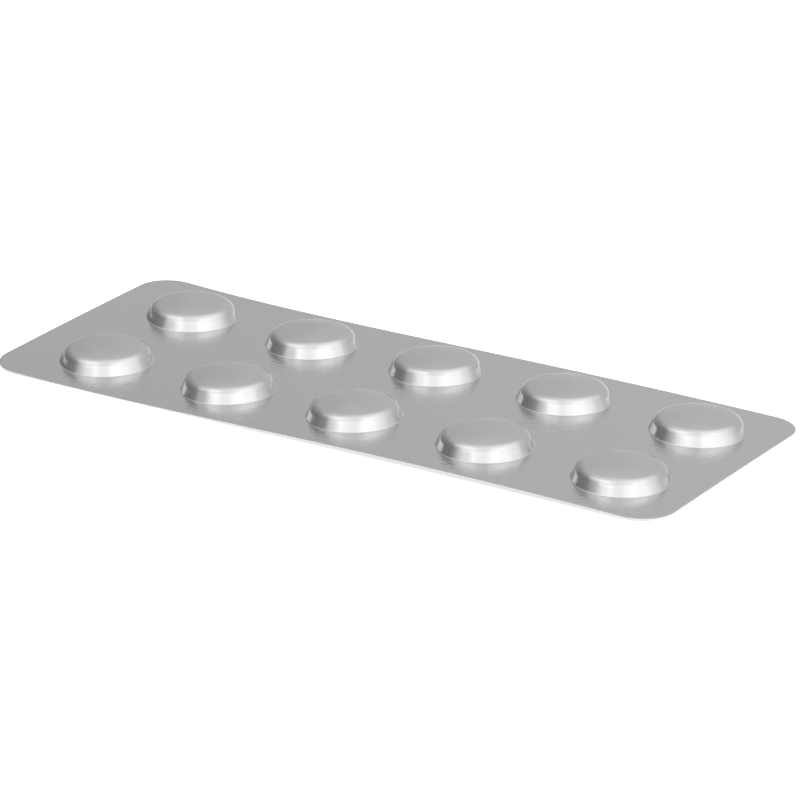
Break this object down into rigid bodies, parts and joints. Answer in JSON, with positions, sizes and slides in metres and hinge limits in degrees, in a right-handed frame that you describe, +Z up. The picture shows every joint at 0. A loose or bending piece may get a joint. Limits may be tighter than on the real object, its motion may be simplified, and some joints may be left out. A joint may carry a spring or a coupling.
{
  "type": "blister pack",
  "caption": "Foil blister card with round corners and rows of round, gently domed tablet pockets standing up from a flat sealed web.",
  "frame": {"origin": "middle of the card's underside", "axes": "+X along the card towards the end with the narrow margin, +Y across it, +Z up through the pockets"},
  "size_m": [0.1036, 0.0408, 0.0025],
  "materials": {
    "foil": "bright cold-formed aluminium foil with a fine rolled grain"
  },
  "bodies": {
    "root": {"blister_card": "foil"}
  },
  "joints": []
}
